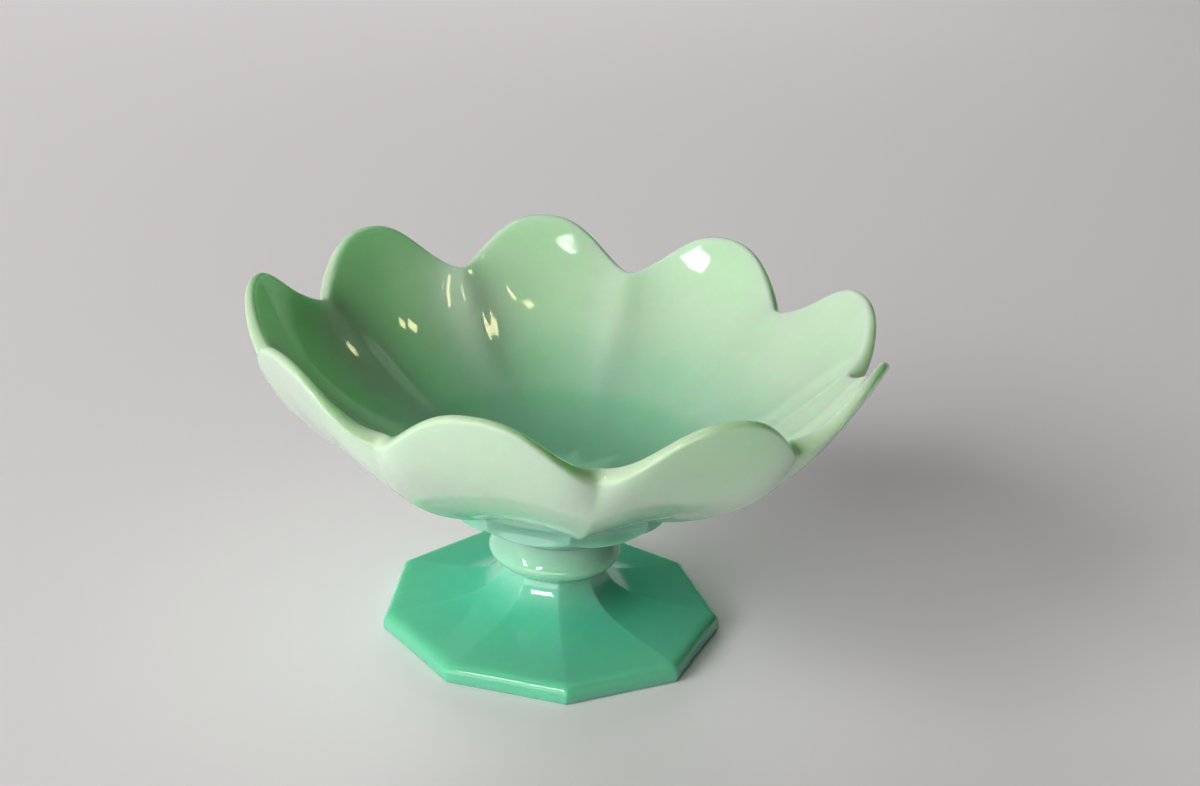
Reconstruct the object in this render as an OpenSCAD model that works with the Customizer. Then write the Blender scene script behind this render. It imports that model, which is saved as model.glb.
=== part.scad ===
// Footed compote bowl in pressed glass: nine lotus petals over a stepped calyx, a round knop
// and a nine-sided foot. Z is the axis of the bowl and the foot stands on the plane z = 0.
// A seam between two petals points to -Y, and the petal opposite it points to +Y.

/* [Pattern] */
// Number of petals, and of sides of the foot
petal_count = 9; // [7:1:11]

/* [Bowl rim] */
// Distance from the axis to the middle of the lip, at the tip of a petal
tip_radius = 88; // [82:0.5:94]
// Height of the middle of the lip above the bowl's base, at the tip of a petal
tip_rise = 67.4; // [62:0.2:72]
// Distance from the axis to the middle of the lip, in the notch between two petals
notch_radius = 79.3; // [76:0.1:82]
// Height of the middle of the lip above the bowl's base, in the notch between two petals
notch_rise = 52.3; // [48:0.1:56]
// Thickness of the rounded lip at the tip of a petal
tip_thickness = 2.8; // [2.2:0.1:4]
// Thickness of the rounded lip in a notch
notch_thickness = 5.2; // [4:0.1:6]

/* [Bowl wall] */
// Height of the middle of the floor above the bowl's base
floor_rise = 18; // [16:0.5:20]
// How far the narrow ridge along each keel stands out
keel_ridge = 1.5; // [0.8:0.1:2]
// Distance from the axis to the point where the keel between two petals ends
cusp_radius = 35.6; // [35:0.1:37]
// Height of that point above the bowl's base
cusp_rise = 15.4; // [14.8:0.1:16.2]
// Distance from the axis to the lower edge of a petal, in its middle
arch_radius = 36; // [35:0.1:37]
// Height of that edge above the bowl's base
arch_rise = 17.9; // [17.2:0.1:18.8]

/* [Calyx] */
// Distance from the axis to a point of the calyx, under a keel
calyx_cusp_radius = 33.6; // [33:0.1:34.4]
// Height of that point above the bowl's base
calyx_cusp_rise = 10.8; // [10.2:0.1:11.6]
// Distance from the axis to the side of the calyx, under the middle of a petal
calyx_side_radius = 32.6; // [31.8:0.1:33.4]
// Height of the calyx's lower edge above the bowl's base, under the middle of a petal
calyx_side_rise = 9.2; // [8.8:0.1:9.8]
// How far the step under the middle of a petal is cut in
step_depth = 2; // [1.2:0.1:2.6]
// Depth of the hollow in each side of the calyx
calyx_hollow = 3.3; // [2.4:0.1:3.8]
// Distance from the axis to the top of the cove that runs down to the neck, under the calyx
cove_radius = 25; // [22:0.5:28]
// Height of the cove's top above the bowl's base
cove_rise = 7.6; // [7:0.1:8.2]
// Radius of the neck's flat face, which the bowl stands on the knop with
neck_radius = 15.4; // [14.4:0.1:16.4]

/* [Knop] */
// Radius of the knop where it is widest
knop_radius = 19.2; // [18:0.1:21]
// Height of the knop
knop_height = 10.6; // [9:0.2:13]
// How far the knop's flat ends lie inside the faces that they meet
knop_inset = 0.2; // [0.1:0.1:0.6]

/* [Foot] */
// Distance from the axis to a corner of the foot
foot_radius = 50; // [46:0.5:54]
// Height of the foot, up to the knop
foot_height = 18.4; // [16:0.2:21]
// Height at which the straight side of the foot's rim ends and its rounded edge begins
side_height = 1.8; // [1:0.1:2.6]
// Height at which the rounded edge ends and the sweep up to the stem begins
brim_height = 5.5; // [4.6:0.1:6.4]
// Width of the rounded edge
edge_width = 3.9; // [3:0.1:5]
// Distance from the axis to a corner of the stem, under the knop
stem_radius = 14.6; // [13.6:0.1:16]
// Height and width of the bevel around the foot's flat base
base_bevel = 0.6; // [0.3:0.1:1]

/* [Hidden] */

// Steps around one petal, and along the walls and edges
petal_steps = 10;
wall_steps = 12;
lip_steps = 6;
knop_steps = 18;
sweep_steps = 12;
edge_steps = 4;
cove_steps = 4;
round_steps = 96;

petal_angle = 360 / petal_count;
knop_base = foot_height;
bowl_base = foot_height + knop_height;
columns = petal_count * petal_steps;
// Distance from the axis to the middle of the stem's side, under the knop
stem_flat_radius = stem_radius * cos(petal_angle / 2);

// Lean of the lip from the level, at the tip of a petal and in a notch
tip_lean = 62;
notch_lean = 40;

// The two handles of each curve, as shares of the way from its first end to its second
side_curve_shares = [[0.205, 0.138], [0.751, 0.306]];
keel_curve_shares = [[0.064, 0.052], [0.771, 0.342]];
hollow_curve_shares = [[0.61, 0], [0.88, 0.52]];
rib_curve_shares = [[0.56, 0], [0.73, 0.41]];
sweep_curve_shares = [[0.57, 0.16], [0.89, 0.24]];
edge_curve_shares = [[0.05, 0.76], [0.41, 0.92]];
knop_low_shares = [[0.35, 0.15], [1, 0.5]];
knop_high_shares = [[0, 0.21], [0.55, 0.6]];
cove_curve_shares = [[0.55, 0.12], [1, 0.5]];
// Where the knop is widest, as a share of its height
knop_belly_share = 0.43;

// How the wall turns from its middle to a seam: high powers keep the middle flat and the seam sharp
keel_power = 3;
arch_power = 2.6;
notch_power = 2.5;
thickness_power = 2.5;
rib_power = 2;
// How broadly the ribs inside are rounded, as a share of half a petal
rib_rounding_share = 0.55;
// How narrow the ridge on a keel is, and how soon it fades towards the keel's ends
ridge_power = 10;
ridge_fade_power = 0.55;
// How soon the wall takes up the waves of the rim on its way up
outer_wave_power = 1.3;
inner_wave_power = 2;
// How late on its way up the rounding of the ribs ends
rounding_fade_power = 4;
// How much of the notch's height is a round dip, the rest being a sharp one
dip_share = 0.55;
// How much flatter the lip's crown is in a notch
crown_drop_share = 0.35;
// Top and bottom of the step and the deepest place of the hollow, as shares of the way down the calyx
step_top_share = 0.08;
step_low_share = 0.32;
hollow_place_share = 0.58;
// Bottom of the step under a keel, and how much of the step's depth is left there
keel_step_low_share = 0.14;
keel_step_share = 0.4;

function mix(a, b, share) = a + (b - a) * share;

// A point on the curve between two ends, whose handles lie at shares of the way between them
function curve(from, to, shares, t) =
    let (first = [mix(from.x, to.x, shares[0].x), mix(from.y, to.y, shares[0].y)],
         second = [mix(from.x, to.x, shares[1].x), mix(from.y, to.y, shares[1].y)])
    pow(1 - t, 3) * from + 3 * pow(1 - t, 2) * t * first + 3 * (1 - t) * t * t * second + pow(t, 3) * to;

// How far along from a petal's middle to its seam a rim value has gone, at u from 0 to 1
function rim_out(u) = pow(u, notch_power);
function rim_down(u) = mix(1 - cos(90 * u), pow(sin(90 * u), 3), dip_share);

// The middle of the lip, half its thickness and its lean
function lip_middle(u) =
    [mix(tip_radius, notch_radius, rim_out(u)), mix(tip_rise, notch_rise, rim_down(u))];
function lip_half(u) = mix(tip_thickness, notch_thickness, pow(u, thickness_power)) / 2;
function lip_lean(u) = mix(tip_lean, notch_lean, u * u);
// A point of the rounded lip: turn 0 is its inner side, 90 its crown and 180 its outer side
function lip_point(u, turn) =
    let (half = lip_half(u), lean = lip_lean(u), crown = half * (1 - crown_drop_share * pow(u, 3)))
    lip_middle(u)
        - half * cos(turn) * [sin(lean), -cos(lean)]
        + crown * sin(turn) * [cos(lean), sin(lean)];

// The share that the wall has at the rim, so that it ends on the lip
function rim_share(u, turn, axis) =
    let (tip = lip_point(0, turn)[axis], notch = lip_point(1, turn)[axis])
    (lip_point(u, turn)[axis] - tip) / (notch - tip);

function outer_point(u, t) =
    let (side = curve([arch_radius, arch_rise], lip_point(0, 180), side_curve_shares, t),
         keel = curve([cusp_radius, cusp_rise], lip_point(1, 180), keel_curve_shares, t),
         ridge = keel_ridge * pow(u, ridge_power) * pow(sin(180 * t), ridge_fade_power),
         wave = pow(t, outer_wave_power))
    [mix(side.x, keel.x, mix(pow(u, keel_power), rim_share(u, 180, 0), wave)) + ridge,
     mix(side.y, keel.y, mix(pow(u, arch_power), rim_share(u, 180, 1), wave))];

// How far a rib inside has risen at u, where its sharp turn at the seam is rounded
function rib_rise(u) =
    let (rounding = rib_rounding_share)
    1 - (norm([1 - u, rounding]) - rounding) / (norm([1, rounding]) - rounding);

function inner_point(u, t) =
    let (hollow = curve([0, floor_rise], lip_point(0, 0), hollow_curve_shares, t),
         rib = curve([0, floor_rise], lip_point(1, 0), rib_curve_shares, t),
         wave = pow(t, inner_wave_power),
         rise = mix(rib_rise(u), u, pow(t, rounding_fade_power)),
         low_rib = pow(rise, rib_power))
    [mix(hollow.x, rib.x, mix(low_rib, rim_share(rise, 0, 0), wave)),
     mix(hollow.y, rib.y, mix(low_rib, rim_share(rise, 0, 1), wave))];

// Below the petals: the step, the hollow side of the calyx, its lower edge and the cove down to the neck
function calyx_points(u) =
    let (corner = pow(u, keel_power),
         arch = pow(u, arch_power),
         petal_edge = [mix(arch_radius, cusp_radius, corner), mix(arch_rise, cusp_rise, arch)],
         low_edge = [mix(calyx_side_radius, calyx_cusp_radius, corner),
                     mix(calyx_side_rise, calyx_cusp_rise, arch)],
         drop = petal_edge.y - low_edge.y,
         step_radius = petal_edge.x - step_depth * mix(1, keel_step_share, corner),
         step_low = drop * mix(step_low_share, keel_step_low_share, corner),
         hollow = calyx_hollow * (1 - corner))
    [[step_radius, petal_edge.y - drop * step_top_share],
     [step_radius, petal_edge.y - step_low],
     [mix(petal_edge.x, low_edge.x, hollow_place_share) - hollow, petal_edge.y - drop * hollow_place_share],
     low_edge,
     for (i = [0:cove_steps])
         curve([cove_radius, cove_rise], [neck_radius, 0], cove_curve_shares, i / cove_steps)];

// The outline of a slice through the glass, from the floor up the hollow, over the lip and down to the neck
function slice(u) = [
    for (i = [1:wall_steps - 1]) inner_point(u, i / wall_steps),
    for (i = [0:lip_steps]) lip_point(u, 180 * i / lip_steps),
    for (i = [1:wall_steps]) outer_point(u, 1 - i / wall_steps),
    each calyx_points(u)
];

function turned(point, angle) = [point.x * cos(angle), point.x * sin(angle), point.y];

// One side of a slice is joined to the next, with the diagonals mirrored about a petal's middle
function slice_faces(i, rows) =
    let (next = (i + 1) % columns, rising = i % petal_steps < petal_steps / 2)
    [for (k = [0:rows - 2])
        let (a = i * rows + k, b = next * rows + k, c = b + 1, d = a + 1)
        each rising ? [[a, b, c], [a, c, d]] : [[a, b, d], [b, c, d]]];

module bowl() {
    slices = [for (i = [0:columns - 1]) slice(abs(2 * (i % petal_steps) / petal_steps - 1))];
    rows = len(slices[0]);
    middle = columns * rows;
    points = [
        for (i = [0:columns - 1], point = slices[i]) turned(point, i * petal_angle / petal_steps - 90),
        [0, 0, floor_rise]
    ];
    faces = [
        for (i = [0:columns - 1]) each slice_faces(i, rows),
        for (i = [0:columns - 1]) [middle, ((i + 1) % columns) * rows, i * rows],
        [for (i = [0:columns - 1]) i * rows + rows - 1]
    ];
    color("#b4dfb9") translate([0, 0, bowl_base]) polyhedron(points, faces, convexity = 6);
}

// The knop swells quickly from the stem to its low belly and draws in slowly up to the neck
module knop() {
    low = [stem_flat_radius - knop_inset, 0];
    belly = [knop_radius, knop_height * knop_belly_share];
    high = [neck_radius - knop_inset, knop_height];
    outline = [
        [0, 0],
        for (i = [0:knop_steps / 2]) curve(low, belly, knop_low_shares, 2 * i / knop_steps),
        for (i = [1:knop_steps / 2]) curve(belly, high, knop_high_shares, 2 * i / knop_steps),
        [0, knop_height]
    ];
    color("#8fd0ab") translate([0, 0, knop_base]) rotate_extrude($fn = round_steps) polygon(outline);
}

// The foot's corners stand in line with the seams, and its sides sweep up to the stem
module foot() {
    brim = [foot_radius - edge_width, brim_height];
    stem_top = [stem_radius, foot_height];
    corner_line = [
        [foot_radius - base_bevel, 0],
        [foot_radius, base_bevel],
        for (i = [0:edge_steps]) curve([foot_radius, side_height], brim, edge_curve_shares, i / edge_steps),
        for (i = [1:sweep_steps]) curve(brim, stem_top, sweep_curve_shares, i / sweep_steps)
    ];
    levels = len(corner_line);
    points = [
        for (level = corner_line, i = [0:petal_count - 1]) turned(level, i * petal_angle - 90)
    ];
    faces = [
        [for (i = [0:petal_count - 1]) i],
        for (k = [0:levels - 2], i = [0:petal_count - 1])
            let (next = (i + 1) % petal_count, low = k * petal_count, high = low + petal_count)
            [low + i, high + i, high + next, low + next],
        [for (i = [0:petal_count - 1]) levels * petal_count - 1 - i]
    ];
    color("#5dbb90") polyhedron(points, faces, convexity = 4);
}

bowl();
knop();
foot();
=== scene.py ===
"""Footed compote bowl in opaque jade-green pressed glass, on a plain pale floor in soft light."""

import math

import bpy
import numpy as np
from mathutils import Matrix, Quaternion, Vector


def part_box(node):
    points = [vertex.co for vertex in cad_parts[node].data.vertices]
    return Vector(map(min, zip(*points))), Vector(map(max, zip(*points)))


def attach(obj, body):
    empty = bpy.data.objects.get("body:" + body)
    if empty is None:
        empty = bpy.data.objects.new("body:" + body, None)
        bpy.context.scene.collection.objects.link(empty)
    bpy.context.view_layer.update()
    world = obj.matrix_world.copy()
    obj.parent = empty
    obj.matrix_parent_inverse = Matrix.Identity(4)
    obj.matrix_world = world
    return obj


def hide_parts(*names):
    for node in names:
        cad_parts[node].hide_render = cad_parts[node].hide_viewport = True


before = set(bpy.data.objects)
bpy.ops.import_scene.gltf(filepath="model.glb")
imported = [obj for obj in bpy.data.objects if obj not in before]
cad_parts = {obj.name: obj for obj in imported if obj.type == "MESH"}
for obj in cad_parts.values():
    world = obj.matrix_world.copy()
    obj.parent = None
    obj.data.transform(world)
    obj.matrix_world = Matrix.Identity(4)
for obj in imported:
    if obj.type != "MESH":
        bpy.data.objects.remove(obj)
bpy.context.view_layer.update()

MM = 0.001
PETALS = 9
PETAL_ANGLE = 2 * math.pi / PETALS
# A seam between two petals points to -Y
FIRST_SEAM = -math.pi / 2

# Where the frame puts the bases of the upper pieces, in metres
BOWL_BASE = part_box("bowl")[0].z
KNOP_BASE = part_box("knop")[0].z

# A point is a distance from the axis and a height above its piece's own base. All lengths are in
# millimetres, down to the colours.

# Middle of the lip at a petal's tip and in the notch between two petals
TIP = np.array([88.0, 67.4])
NOTCH = np.array([79.3, 52.3])
TIP_THICKNESS = 2.8
NOTCH_THICKNESS = 5.2
TIP_LEAN = math.radians(62)
NOTCH_LEAN = math.radians(40)
# How much of the dip between two petals is round, the rest being sharp
DIP_SHARE = 0.55
DIP_POWER = 3
# How much flatter the lip's crown is in a notch
CROWN_DROP_SHARE = 0.35
CROWN_DROP_POWER = 3

# Wall, calyx and neck of the bowl
FLOOR_MIDDLE = np.array([0.0, 18.0])
CUSP = np.array([35.6, 15.4])
ARCH = np.array([36.0, 17.9])
CALYX_CUSP = np.array([33.6, 10.8])
CALYX_SIDE = np.array([32.6, 9.2])
COVE = np.array([25.0, 7.6])
NECK = np.array([15.4, 0.0])
CALYX_HOLLOW = 3.3

# The step under the petals: its depth, how much of that is left at the keels, and its bulge
STEP_DEPTH = 2.0
KEEL_STEP_SHARE = 0.4
STEP_BULGE = 0.25
# Where the step starts, where it ends, and where the hollow is, as shares of the way down the calyx
STEP_TOP_SHARE = 0.08
SIDE_BAND_SHARE = 0.32
KEEL_BAND_SHARE = 0.14
HOLLOW_PLACE = 0.58

# How far from its corner each bend starts, in the calyx from the petals down and in the foot's base
CALYX_BENDS = (0.5, 0.4, 0.6, 0.9, 2.5, 0.7, 1.5)
BASE_BENDS = (0.3, 0.3)
# The most that a bend takes of the way to the next corner
BEND_LIMIT_SHARE = 0.48
# Where on the cove's curve its bend ends and its rows begin
COVE_BEND_END = 0.1
COVE_ROWS_START = 0.15

# Knop and foot
KNOP_LOW = np.array([13.5, 0.0])
KNOP_BELLY = np.array([19.2, 4.56])
KNOP_HIGH = np.array([15.2, 10.6])
FOOT_RADIUS = 50.0
BASE_BEVEL = 0.6
# How far inside the foot's outline the outermost row of its flat base lies
BASE_INSET = 3 * BASE_BEVEL
SIDE_HEIGHT = 1.8
BRIM = np.array([46.1, 5.5])
STEM = np.array([14.6, 18.4])
# How round the foot's corners are, and how far the middle of each of its sides bulges out
CORNER_ROUNDING = 0.8
SIDE_BULGE = 0.25
BULGE_POWER = 4

# Handles of the curves, as shares of the way from one end to the other
SIDE_SHARES = ((0.205, 0.138), (0.751, 0.306))
KEEL_SHARES = ((0.064, 0.052), (0.771, 0.342))
HOLLOW_SHARES = ((0.61, 0), (0.88, 0.52))
RIB_SHARES = ((0.56, 0), (0.73, 0.41))
SWEEP_SHARES = ((0.57, 0.16), (0.89, 0.24))
EDGE_SHARES = ((0.05, 0.76), (0.41, 0.92))
KNOP_LOW_SHARES = ((0.35, 0.15), (1, 0.5))
KNOP_HIGH_SHARES = ((0, 0.21), (0.55, 0.6))
COVE_SHARES = ((0.55, 0.12), (1, 0.5))

# How the wall turns from a petal's middle to a seam
KEEL_POWER = 3
ARCH_POWER = 2.6
NOTCH_POWER = 2.5
THICKNESS_POWER = 2.5
OUTER_WAVE_POWER = 1.3
INNER_WAVE_POWER = 2
INNER_RIB_POWER = 2

# How round the seams are, as shares of half a petal, and how late up the wall they turn into the lip's
RIB_ROUNDING = 0.55
LIP_INNER_ROUNDING = 0.1
LIP_OUTER_ROUNDING = 0.025
KEEL_ROUNDING = 0.03
ROUNDING_FADE_POWER = 4

# The narrow ridge that runs down each keel
KEEL_RIDGE = 1.5
RIDGE_POWER = 10
RIDGE_FADE_POWER = 0.55

# How fine the meshes are: rows along an outline, columns in each ninth of a turn or around the knop
WALL_ROWS = 64
LIP_ROWS = 22
CALYX_BEND_ROWS = 7
COVE_ROWS = 16
PETAL_COLUMNS = 48
PETAL_CROWDING = 0.6
KNOP_ROWS = 25
KNOP_COLUMNS = 144
BASE_BEND_ROWS = 4
EDGE_ROWS = 12
SWEEP_ROWS = 48
FOOT_COLUMNS = 32
FOOT_CROWDING = 0.8

# Smoothing of the rows on and beside the lip
SMOOTHING_ROUNDS = 6
SMOOTHING_REACH = 6
SMOOTHING_SHARE = 0.4

# Width of the paler lip in rows, and of the paler edges of the foot, a painted highlight along its ridges
RIM_WIDTH = 7
FOOT_RIDGE_HIGHLIGHT_WIDTH = 0.9

# Colours, the first four at heights above the floor
# Painted shade: the foot and stem are painted a deep teal for the shade they stand in under the bowl, and
# the lowest 4 mm are painted paler as a painted reflection of the low light around the foot.
FOOT_COLOURS_WITH_SHADE_AND_REFLECTION = (
    (0, (0.16, 0.57, 0.37)),
    (4, (0.16, 0.57, 0.37)),
    (9, (0.11, 0.58, 0.38)),
    (18, (0.27, 0.66, 0.48)),
)
# Painted shade: the knop is painted teal for the shade it sits in under the bowl.
KNOP_COLOURS_WITH_SHADE = (
    (18, (0.33, 0.64, 0.48)),
    (29, (0.42, 0.68, 0.53)),
)
# Painted shade: up to 43.5 mm the calyx under the petals is painted a dark teal for the shade there, and
# from 46.5 mm the wall rises to the bowl's own pale green.
OUTER_COLOURS_WITH_SHADE = (
    (29, (0.3, 0.58, 0.45)),
    (43.5, (0.27, 0.56, 0.43)),
    (46.5, (0.4, 0.66, 0.52)),
    (51, (0.56, 0.74, 0.62)),
    (62, (0.64, 0.76, 0.63)),
)
INNER_COLOURS = (
    (46, (0.28, 0.65, 0.42)),
    (53, (0.34, 0.67, 0.46)),
    (56.5, (0.46, 0.71, 0.53)),
    (74, (0.61, 0.76, 0.58)),
)
LIP_COLOUR = (0.5, 0.64, 0.38)
LIP_SHARE = 0.55
# Painted highlight: the ridges of the foot are painted paler, standing in for the light they catch.
FOOT_EDGE_HIGHLIGHT_COLOUR = (0.28, 0.62, 0.42)
FOOT_EDGE_HIGHLIGHT_SHARE = 0.12
SWIRL_TINT = (0.86, 0.95, 0.88)
SWIRL_SHARE = 0.45
MOTTLING_TINT = (0.9, 0.96, 0.9)
MOTTLING_SHARE = 0.35
FLOOR_COLOUR = (0.86, 0.825, 0.83)
BACKDROP_COLOUR = (1.0, 0.98, 0.98)
WHITE = (1.0, 1.0, 1.0)
DAYLIGHT = (1.0, 0.99, 0.96)
YELLOW_LIGHT = (1.0, 0.9, 0.5)

# From here on lengths are in metres. Scattering in the glass reaches furthest for green.
GLASS_IOR = 1.52
SMOOTHEST = 0.03
ROUGHEST = 0.07
SCATTER_WEIGHT = 0.8
SCATTER_SCALE = 0.007
SCATTER_RADII = (0.22, 1.0, 0.28)
FLOOR_ROUGHNESS = 0.9
FLOOR_HALF = 4.0

# The world: its light on the object, the backdrop's brightness, and the sines of the rises between
# which the backdrop ends in reflections
WORLD_LIGHT = 0.01
BACKDROP_STRENGTH = 0.4
BACKDROP_TOP = (0.05, 0.2)

# Lamps shine at the middle of the object, apart from the one for the floor behind it
AIM = Vector((0, 0, 0.05))
FAR_FLOOR = Vector((0.15, 1.4, 0))

# Lamps for light and shade: name, bearing, rise, distance, width, height, watts
SOFT_LAMPS = (
    ("left_key", 205, 28, 3.2, 1.42, 1.42, 58),
    ("low_key", 225, 13, 3.2, 1.78, 1.4, 48),
    ("back_glow", 90, 12, 4.5, 3.2, 1.45, 103),
    ("top_left", 135, 42, 3.0, 1.6, 1.6, 15),
    ("front_left_fill", 240, 36, 3.0, 1.0, 1.0, 7),
)
FAR_WASH = ("far_wash", 90, 88, 1.0, 1.0, 0.6, 2)

# Lamps for reflections, with the same values. The windows and panes stand at one distance.
LOW_GLOW = ("low_glow", 245, 11, 3.0, 5.0, 1.1, 60)
WINDOW_DISTANCE = 1.8
WINDOWS = (
    ("left_window", 204, 38, WINDOW_DISTANCE, 0.25, 0.23, 2.6),
    ("left_low_window", 210, 30, WINDOW_DISTANCE, 0.22, 0.2, 2.4),
    ("left_high_window", 208, 49, WINDOW_DISTANCE, 0.12, 0.1, 0.4),
    ("front_left_window", 237, 33, WINDOW_DISTANCE, 0.26, 0.3, 4.5),
)
LEANING_WINDOW = ("front_window", 270, 45, WINDOW_DISTANCE, 0.045, 0.26, 0.5)
LEANING_WINDOW_ROLL = 22
YELLOW_PANES = (
    ("right_pane_1", 16, 46, WINDOW_DISTANCE, 0.13, 0.09, 0.45),
    ("right_pane_2", 12, 51, WINDOW_DISTANCE, 0.14, 0.13, 0.75),
    ("right_pane_3", 318, 63, WINDOW_DISTANCE, 0.08, 0.1, 0.35),
    ("right_pane_4", 308, 68, WINDOW_DISTANCE, 0.1, 0.1, 0.4),
)

# The camera that took the photograph, fitted to the bowl's rim and the foot's corners
CAMERA_LENS = 50
CAMERA_SENSOR = 36
CAMERA_PLACE = (-0.0503, -0.4336, 0.2453)
CAMERA_TURN = (68.257, -3.845, -6.396)


def mix(a, b, share):
    return a + (b - a) * share


def pair(radius, height):
    return np.stack(np.broadcast_arrays(radius, height), -1).astype(float)


def curve(start, end, shares, t):
    """Points at t on the curve from start to end, whose handles lie at shares of the way."""
    first = start + (end - start) * np.array(shares[0])
    second = start + (end - start) * np.array(shares[1])
    t = np.asarray(t, float)[..., None]
    near_start = (1 - t) ** 3 * start + 3 * (1 - t) ** 2 * t * first
    return near_start + 3 * (1 - t) * t ** 2 * second + t ** 3 * end


def lip_point(u, turn):
    """A point of the rounded lip at u, 0 in a petal's middle and 1 at a seam.

    The turn is in radians from the lip's inner side over its crown to its outer side."""
    out = u ** NOTCH_POWER
    down = mix(1 - np.cos(u * math.pi / 2), np.sin(u * math.pi / 2) ** DIP_POWER, DIP_SHARE)
    middle = pair(mix(TIP[0], NOTCH[0], out), mix(TIP[1], NOTCH[1], down))
    half = mix(TIP_THICKNESS, NOTCH_THICKNESS, u ** THICKNESS_POWER) / 2
    crown = half * (1 - CROWN_DROP_SHARE * u ** CROWN_DROP_POWER)
    lean = mix(TIP_LEAN, NOTCH_LEAN, u * u)
    across = pair(np.sin(lean), -np.cos(lean))
    along = pair(np.cos(lean), np.sin(lean))
    return middle - (half * np.cos(turn))[..., None] * across + (crown * np.sin(turn))[..., None] * along


def rim_share(u, turn, axis):
    """How far the lip is on its way from tip to notch, outwards for axis 0 and in height for axis 1."""
    tip = lip_point(np.zeros(1), turn)[0, axis]
    notch = lip_point(np.ones(1), turn)[0, axis]
    return (lip_point(u, turn)[..., axis] - tip) / (notch - tip)


def wall_point(u, turn, middle, seam, low_out, low_up, wave, ridge=0.0):
    """A point of a wall that blends from its middle curve to its seam curve and ends on the lip."""
    return pair(
        mix(middle[..., 0], seam[..., 0], mix(low_out, rim_share(u, turn, 0), wave)) + ridge,
        mix(middle[..., 1], seam[..., 1], mix(low_up, rim_share(u, turn, 1), wave)),
    )


def outer_point(u, t):
    """A point of the outer wall at u, and at t from the calyx up to the lip."""
    side = curve(ARCH, lip_point(np.zeros(1), math.pi)[0], SIDE_SHARES, t)
    keel = curve(CUSP, lip_point(np.ones(1), math.pi)[0], KEEL_SHARES, t)
    ridge = KEEL_RIDGE * u ** RIDGE_POWER * np.sin(math.pi * t) ** RIDGE_FADE_POWER
    wave = t ** OUTER_WAVE_POWER
    return wall_point(u, math.pi, side, keel, u ** KEEL_POWER, u ** ARCH_POWER, wave, ridge)


def inner_point(u, t):
    """A point of the inner wall at u, and at t from the middle of the floor up to the lip."""
    hollow = curve(FLOOR_MIDDLE, lip_point(np.zeros(1), 0)[0], HOLLOW_SHARES, t)
    rib = curve(FLOOR_MIDDLE, lip_point(np.ones(1), 0)[0], RIB_SHARES, t)
    low_rib = u ** INNER_RIB_POWER
    return wall_point(u, 0, hollow, rib, low_rib, low_rib, t ** INNER_WAVE_POWER)


def rounded(corners, bends, steps):
    """The path through the corners, each inner one rounded off from its bend's distance on."""
    path = []
    for before, corner, after, bend in zip(corners, corners[1:], corners[2:], bends):
        ends = []
        for other in (before, after):
            away = other - corner
            length = np.linalg.norm(away, axis=-1, keepdims=True)
            ends.append(corner + away / length * np.minimum(bend, BEND_LIMIT_SHARE * length))
        for s in np.linspace(0, 1, steps):
            path.append(mix(mix(ends[0], corner, s), mix(corner, ends[1], s), s))
    return path


def calyx_rows(u, last_wall_row):
    """Rows below the petals: the rounded edge, the step, the hollow sides and the cove to the neck."""
    corner, arch = u ** KEEL_POWER, u ** ARCH_POWER
    edge = pair(mix(ARCH[0], CUSP[0], corner), mix(ARCH[1], CUSP[1], arch))
    low = pair(mix(CALYX_SIDE[0], CALYX_CUSP[0], corner), mix(CALYX_SIDE[1], CALYX_CUSP[1], arch))
    drop = edge[..., 1] - low[..., 1]
    step = edge[..., 0] - STEP_DEPTH * mix(1, KEEL_STEP_SHARE, corner)
    band = mix(SIDE_BAND_SHARE, KEEL_BAND_SHARE, corner)
    hollow = mix(edge[..., 0], low[..., 0], HOLLOW_PLACE) - CALYX_HOLLOW * (1 - corner)

    def cove_row(t):
        return np.broadcast_to(curve(COVE, NECK, COVE_SHARES, np.array(t)), low.shape)

    corners = [
        last_wall_row,
        edge,
        pair(step, edge[..., 1] - drop * STEP_TOP_SHARE),
        pair(step + STEP_BULGE, edge[..., 1] - drop * mix(STEP_TOP_SHARE, band, 0.5)),
        pair(step, edge[..., 1] - drop * band),
        pair(hollow, edge[..., 1] - drop * HOLLOW_PLACE),
        low,
        np.broadcast_to(COVE, low.shape),
        cove_row(COVE_BEND_END),
    ]
    rows = rounded(corners, CALYX_BENDS, CALYX_BEND_ROWS)
    return rows + [cove_row(t) for t in np.linspace(COVE_ROWS_START, 1, COVE_ROWS)]


def crowded(count, share):
    """Places from 0 up to 1, the end left out, that crowd together towards both ends."""
    even = np.arange(count) / count
    return mix(even, (1 - np.cos(math.pi * even)) / 2, share)


def column_angles(places):
    """The angles around the axis of the places in every ninth of a turn."""
    return FIRST_SEAM + PETAL_ANGLE * (np.arange(PETALS)[:, None] + places).ravel()


def seam_distance(places):
    """How far each place across a petal lies from the nearer seam: 0 there and 1 in the middle."""
    return 1 - np.abs(2 * places - 1)


def softened(distance, rounding):
    """The same distances with the sharp turn at 0 rounded off."""
    far_end = math.sqrt(1 + rounding ** 2) - rounding
    return (np.sqrt(distance ** 2 + rounding ** 2) - rounding) / far_end


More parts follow.
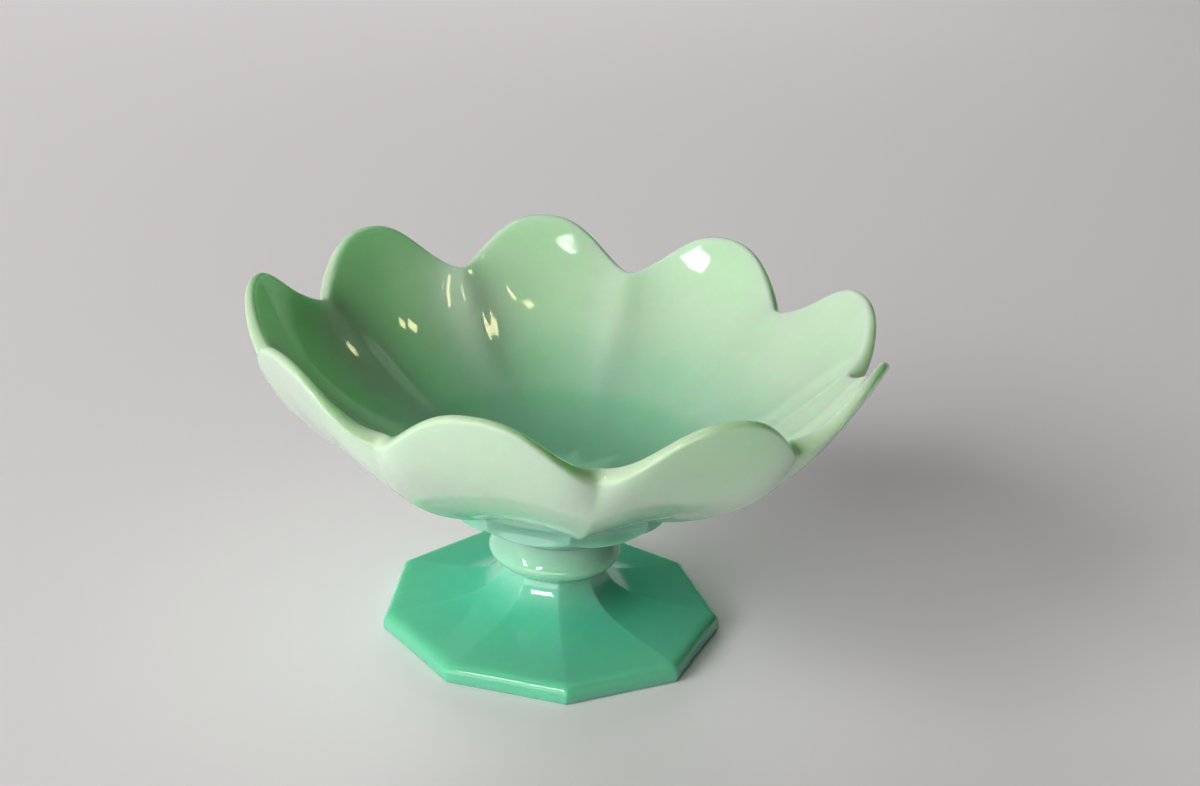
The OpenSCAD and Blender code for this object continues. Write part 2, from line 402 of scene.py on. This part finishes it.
def turned_mesh(name, radii, heights, angles, base, marks=()):
    """A closed piece of rows along the outline and columns around the axis, closed on the axis at both ends.

    The radii and heights hold one value for each column and row. The base is a height in metres. Marks
    are named values for each column and row, which the materials read."""
    columns, rows = radii.shape
    points = np.stack([radii * np.cos(angles)[:, None], radii * np.sin(angles)[:, None], heights], -1)
    ends = [[0, 0, heights[:, 0].mean()], [0, 0, heights[:, -1].mean()]]
    points = np.concatenate([points.reshape(-1, 3), ends]) * MM + np.array([0, 0, base])
    first, last = columns * rows, columns * rows + 1
    faces = []
    for i in range(columns):
        a, b = i * rows, (i + 1) % columns * rows
        faces.append((first, a, b))
        faces += [(a + k, a + k + 1, b + k + 1, b + k) for k in range(rows - 1)]
        faces.append((last, b + rows - 1, a + rows - 1))
    mesh = bpy.data.meshes.new(name)
    mesh.from_pydata(points.tolist(), [], faces)
    mesh.update()
    for mark, values in marks:
        values = np.broadcast_to(values, (columns, rows)).ravel()
        values = np.concatenate([values, [values[0], values[-1]]]).astype(np.float32)
        mesh.attributes.new(mark, "FLOAT", "POINT").data.foreach_set("value", values)
    mesh.shade_smooth()
    piece = bpy.data.objects.new(name, mesh)
    bpy.context.scene.collection.objects.link(piece)
    return piece


def bowl_glass():
    """The rows run from the middle of the bowl up inside, over the lip and down outside to the neck."""
    places = crowded(PETAL_COLUMNS, PETAL_CROWDING)
    distance = np.tile(seam_distance(places), PETALS)

    def middleness(rounding):
        return 1 - softened(distance, rounding)

    rows = []
    for t in np.linspace(0, 1, WALL_ROWS)[1:-1]:
        rounding = mix(RIB_ROUNDING, LIP_INNER_ROUNDING, t ** ROUNDING_FADE_POWER)
        rows.append(inner_point(middleness(rounding), np.array(t)))
    lip_start = len(rows)
    for turn in np.linspace(0, math.pi, LIP_ROWS):
        rounding = mix(LIP_INNER_ROUNDING, LIP_OUTER_ROUNDING, turn / math.pi)
        rows.append(lip_point(middleness(rounding), turn))
    lip_end = len(rows)
    for t in np.linspace(1, 0, WALL_ROWS)[1:-1]:
        rounding = mix(KEEL_ROUNDING, LIP_OUTER_ROUNDING, t ** ROUNDING_FADE_POWER)
        rows.append(outer_point(middleness(rounding), np.array(t)))
    rows += calyx_rows(middleness(KEEL_ROUNDING), rows[-1])
    outline = np.stack(rows, 1)
    start, end = lip_start - SMOOTHING_REACH, lip_end + SMOOTHING_REACH
    for _ in range(SMOOTHING_ROUNDS):
        smooth = (outline[:, start - 1:end - 1] + outline[:, start + 1:end + 1]) / 2
        outline[:, start:end] = mix(outline[:, start:end], smooth, SMOOTHING_SHARE)
    along = np.arange(outline.shape[1])
    rim = np.exp(-((along - (lip_start + lip_end) / 2) / RIM_WIDTH) ** 2)
    inside = (along < lip_start).astype(float)
    return turned_mesh("bowl_glass", outline[..., 0], outline[..., 1], column_angles(places), BOWL_BASE,
                       [("rim", rim), ("inside", inside)])


def knop_glass():
    """The rows run from the top down."""
    t = np.linspace(0, 1, KNOP_ROWS)
    outline = np.concatenate([
        curve(KNOP_LOW, KNOP_BELLY, KNOP_LOW_SHARES, t),
        curve(KNOP_BELLY, KNOP_HIGH, KNOP_HIGH_SHARES, t[1:]),
    ])[::-1]
    angles = 2 * math.pi * np.arange(KNOP_COLUMNS) / KNOP_COLUMNS
    shape = (KNOP_COLUMNS, len(outline))
    radii = np.broadcast_to(outline[:, 0], shape)
    heights = np.broadcast_to(outline[:, 1], shape)
    return turned_mesh("knop_glass", radii, heights, angles, KNOP_BASE)


def foot_glass():
    """The rows run from the stem down to the base."""
    places = crowded(FOOT_COLUMNS, FOOT_CROWDING)
    distance = (np.tile(np.minimum(places, 1 - places), PETALS) * PETAL_ANGLE)[:, None]
    base = [np.array(corner) for corner in (
        (FOOT_RADIUS - BASE_INSET, 0.0),
        (FOOT_RADIUS - BASE_BEVEL, 0.0),
        (FOOT_RADIUS, BASE_BEVEL),
        (FOOT_RADIUS, SIDE_HEIGHT),
    )]
    bottom = base[:1] + rounded(base, BASE_BENDS, BASE_BEND_ROWS)
    edge = curve(base[-1], BRIM, EDGE_SHARES, np.linspace(0, 1, EDGE_ROWS))
    sweep = curve(BRIM, STEM, SWEEP_SHARES, np.linspace(0, 1, SWEEP_ROWS)[1:])
    line = np.concatenate([np.array(bottom), edge, sweep])[::-1]
    half = PETAL_ANGLE / 2
    rounding = CORNER_ROUNDING * math.tan(half) / line[:, 0]
    bent = np.sqrt(distance ** 2 + rounding ** 2) - rounding
    radii = line[:, 0] * math.cos(half) / np.cos(half - bent)
    # The sides bulge in full above the brim, and less and less below it
    swell = SIDE_BULGE * np.minimum(line[:, 1] / BRIM[1], 1) ** BULGE_POWER
    radii = radii + swell * (1 - (1 - np.minimum(distance / half, 1)) ** 2)
    heights = np.broadcast_to(line[:, 1], radii.shape)
    # A painted highlight along each ridge of the foot, above the brim.
    ridge = np.exp(-(distance * line[:, 0] / FOOT_RIDGE_HIGHLIGHT_WIDTH) ** 2) * (heights > BRIM[1])
    return turned_mesh("foot_glass", radii, heights, column_angles(places), 0.0, [("ridge", ridge)])


def add(tree, kind, settings=(), inputs=()):
    """A new node with these settings, whose inputs are linked to sockets or set to values."""
    node = tree.nodes.new(kind)
    for name, value in dict(settings).items():
        setattr(node, name, value)
    for name, value in dict(inputs).items():
        if isinstance(value, bpy.types.NodeSocket):
            tree.links.new(value, node.inputs[name])
        else:
            node.inputs[name].default_value = value
    return node


def math_node(tree, operation, first, second):
    node = add(tree, "ShaderNodeMath", {"operation": operation})
    tree.links.new(first, node.inputs[0])
    tree.links.new(second, node.inputs[1])
    return node.outputs[0]


def colour_mix(tree, share, first, second, blend="MIX"):
    node = add(tree, "ShaderNodeMix", {"data_type": "RGBA", "blend_type": blend}, {"Factor": share})
    # The node has inputs of one name for numbers, vectors and colours. These are the colours.
    for socket, value in ((node.inputs[6], first), (node.inputs[7], second)):
        if isinstance(value, bpy.types.NodeSocket):
            tree.links.new(value, socket)
        else:
            socket.default_value = (*value, 1)
    return node.outputs[2]


def ranged(tree, value, low, high, to_low=0.0, to_high=1.0):
    node = add(tree, "ShaderNodeMapRange", {"interpolation_type": "SMOOTHSTEP"}, {
        "Value": value, "From Min": low, "From Max": high, "To Min": to_low, "To Max": to_high,
    })
    return node.outputs["Result"]


def height_colours(tree, height, stops):
    """The colour at each height: stops pair a height in millimetres with a colour."""
    low, high = stops[0][0], stops[-1][0]
    share = add(tree, "ShaderNodeMapRange", {}, {
        "Value": height, "From Min": low * MM, "From Max": high * MM,
    }).outputs["Result"]
    ramp = add(tree, "ShaderNodeValToRGB", {}, {"Fac": share})
    ramp.color_ramp.interpolation = "EASE"
    elements = ramp.color_ramp.elements
    while len(elements) < len(stops):
        elements.new(0.5)
    for element, (level, colour) in zip(elements, stops):
        element.position = (level - low) / (high - low)
        element.color = (*colour, 1)
    return ramp.outputs["Color"]


def jade_glass(name, stops, inner_stops=(), marked=()):
    """Opaque pressed glass with faint milky swirls, whose colour changes with height.

    The inner stops are the colours inside the bowl. Each row of marked names a mark of the mesh, the
    colour there and how much of it shows."""
    material = bpy.data.materials.new(name)
    material.use_nodes = True
    tree = material.node_tree
    tree.nodes.clear()
    place = add(tree, "ShaderNodeTexCoord").outputs["Object"]

    def noise(scale, detail, roughness=0.5, distortion=0.0):
        return add(tree, "ShaderNodeTexNoise", {}, {
            "Vector": place, "Scale": scale, "Detail": detail,
            "Roughness": roughness, "Distortion": distortion,
        }).outputs["Fac"]

    def marks(mark):
        return add(tree, "ShaderNodeAttribute", {"attribute_name": mark}).outputs["Fac"]

    height = add(tree, "ShaderNodeSeparateXYZ", {}, {"Vector": place}).outputs["Z"]
    colour = height_colours(tree, height, stops)
    if inner_stops:
        colour = colour_mix(tree, marks("inside"), colour, height_colours(tree, height, inner_stops))
    swirls = noise(scale=11.0, detail=4.0, roughness=0.55, distortion=1.6)
    swirl = ranged(tree, swirls, 0.38, 0.68, to_high=SWIRL_SHARE)
    colour = colour_mix(tree, swirl, colour, SWIRL_TINT, "MULTIPLY")
    clouds = noise(scale=80.0, detail=3.0, roughness=0.6)
    mottling = ranged(tree, clouds, 0.3, 0.7, to_high=MOTTLING_SHARE)
    colour = colour_mix(tree, mottling, colour, MOTTLING_TINT, "MULTIPLY")
    for mark, mark_colour, share in marked:
        colour = colour_mix(tree, ranged(tree, marks(mark), 0.0, 1.0, to_high=share), colour, mark_colour)
    smears = noise(scale=28.0, detail=5.0, roughness=0.65, distortion=0.4)
    gloss = ranged(tree, smears, 0.3, 0.75, SMOOTHEST, ROUGHEST)
    waves = add(tree, "ShaderNodeBump", {}, {
        "Height": noise(scale=42.0, detail=1.0), "Strength": 0.12, "Distance": 0.0006,
    })
    grain = add(tree, "ShaderNodeBump", {}, {
        "Height": noise(scale=900.0, detail=1.0), "Strength": 0.05, "Distance": 0.00005,
        "Normal": waves.outputs["Normal"],
    })
    shader = add(tree, "ShaderNodeBsdfPrincipled", {}, {
        "Base Color": colour, "Roughness": gloss, "IOR": GLASS_IOR, "Normal": grain.outputs["Normal"],
        "Subsurface Weight": SCATTER_WEIGHT,
        "Subsurface Radius": SCATTER_RADII,
        "Subsurface Scale": SCATTER_SCALE,
    })
    output = add(tree, "ShaderNodeOutputMaterial", {}, {"Surface": shader.outputs["BSDF"]})
    output.is_active_output = True
    return material


def make_floor():
    material = bpy.data.materials.new("pale_floor")
    material.use_nodes = True
    shader = material.node_tree.nodes["Principled BSDF"]
    shader.inputs["Base Color"].default_value = (*FLOOR_COLOUR, 1)
    shader.inputs["Roughness"].default_value = FLOOR_ROUGHNESS
    mesh = bpy.data.meshes.new("floor")
    corners = [(x * FLOOR_HALF, y * FLOOR_HALF, 0) for x, y in ((-1, -1), (1, -1), (1, 1), (-1, 1))]
    mesh.from_pydata(corners, [], [(0, 1, 2, 3)])
    mesh.materials.append(material)
    floor = bpy.data.objects.new("floor", mesh)
    bpy.context.scene.collection.objects.link(floor)


def area_lamp(name, bearing, rise, distance, width, height, watts, colour, roll=0, aim=AIM):
    """A rectangular lamp that shines at its aim from that bearing, counted from +X towards +Y, and rise."""
    light = bpy.data.lights.new(name, "AREA")
    light.shape = "RECTANGLE"
    light.size = width
    light.size_y = height
    light.energy = watts
    light.color = colour
    lamp = bpy.data.objects.new(name, light)
    a, e = math.radians(bearing), math.radians(rise)
    away = Vector((math.cos(a) * math.cos(e), math.sin(a) * math.cos(e), math.sin(e)))
    lamp.location = aim + away * distance
    turned = away.to_track_quat("Z", "Y") @ Quaternion((0, 0, 1), math.radians(roll))
    lamp.rotation_euler = turned.to_euler()
    bpy.context.scene.collection.objects.link(lamp)
    return lamp


def make_lights():
    """Soft lamps that no reflection shows, then lamps that only reflections show."""
    for place in SOFT_LAMPS:
        area_lamp(*place, WHITE).visible_glossy = False
    area_lamp(*FAR_WASH, WHITE, aim=FAR_FLOOR).visible_glossy = False
    area_lamp(*LOW_GLOW, WHITE).visible_diffuse = False
    for place in WINDOWS:
        area_lamp(*place, DAYLIGHT).visible_diffuse = False
    area_lamp(*LEANING_WINDOW, DAYLIGHT, roll=LEANING_WINDOW_ROLL).visible_diffuse = False
    for place in YELLOW_PANES:
        area_lamp(*place, YELLOW_LIGHT).visible_diffuse = False


def make_world():
    """A pale backdrop that the camera sees, and the reflections near the horizon, under a dark ceiling."""
    world = bpy.data.worlds.new("studio")
    world.use_nodes = True
    tree = world.node_tree
    rays = add(tree, "ShaderNodeLightPath").outputs
    direction = add(tree, "ShaderNodeTexCoord").outputs["Generated"]
    rise = add(tree, "ShaderNodeSeparateXYZ", {}, {"Vector": direction}).outputs["Z"]
    low = ranged(tree, rise, *BACKDROP_TOP, 1.0, 0.0)
    reflected = math_node(tree, "MAXIMUM", rays["Is Glossy Ray"], rays["Is Transmission Ray"])
    reflected = math_node(tree, "MULTIPLY", reflected, low)
    seen = math_node(tree, "MAXIMUM", rays["Is Camera Ray"], reflected)
    strength = add(tree, "ShaderNodeMapRange", {}, {
        "Value": seen, "To Min": WORLD_LIGHT, "To Max": BACKDROP_STRENGTH,
    }).outputs["Result"]
    background = tree.nodes["Background"]
    background.inputs["Color"].default_value = (*BACKDROP_COLOUR, 1)
    tree.links.new(strength, background.inputs["Strength"])
    bpy.context.scene.world = world


def make_camera():
    data = bpy.data.cameras.new("camera")
    data.lens = CAMERA_LENS
    data.sensor_width = CAMERA_SENSOR
    camera = bpy.data.objects.new("camera", data)
    camera.location = CAMERA_PLACE
    camera.rotation_euler = tuple(math.radians(angle) for angle in CAMERA_TURN)
    bpy.context.scene.collection.objects.link(camera)
    bpy.context.scene.camera = camera


def dress(piece, node, material):
    """The piece gets its material and stands for a node of the frame."""
    piece.data.materials.append(material)
    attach(piece, "root")
    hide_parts(node)


make_camera()
make_lights()
make_world()
make_floor()
dress(bowl_glass(), "bowl",
      jade_glass("bowl_jade", OUTER_COLOURS_WITH_SHADE, INNER_COLOURS, [("rim", LIP_COLOUR, LIP_SHARE)]))
dress(knop_glass(), "knop",
      jade_glass("knop_jade", KNOP_COLOURS_WITH_SHADE))
dress(foot_glass(), "foot",
      jade_glass("foot_jade", FOOT_COLOURS_WITH_SHADE_AND_REFLECTION, marked=[("ridge", FOOT_EDGE_HIGHLIGHT_COLOUR, FOOT_EDGE_HIGHLIGHT_SHARE)]))

bpy.context.scene.view_settings.view_transform = "Standard"
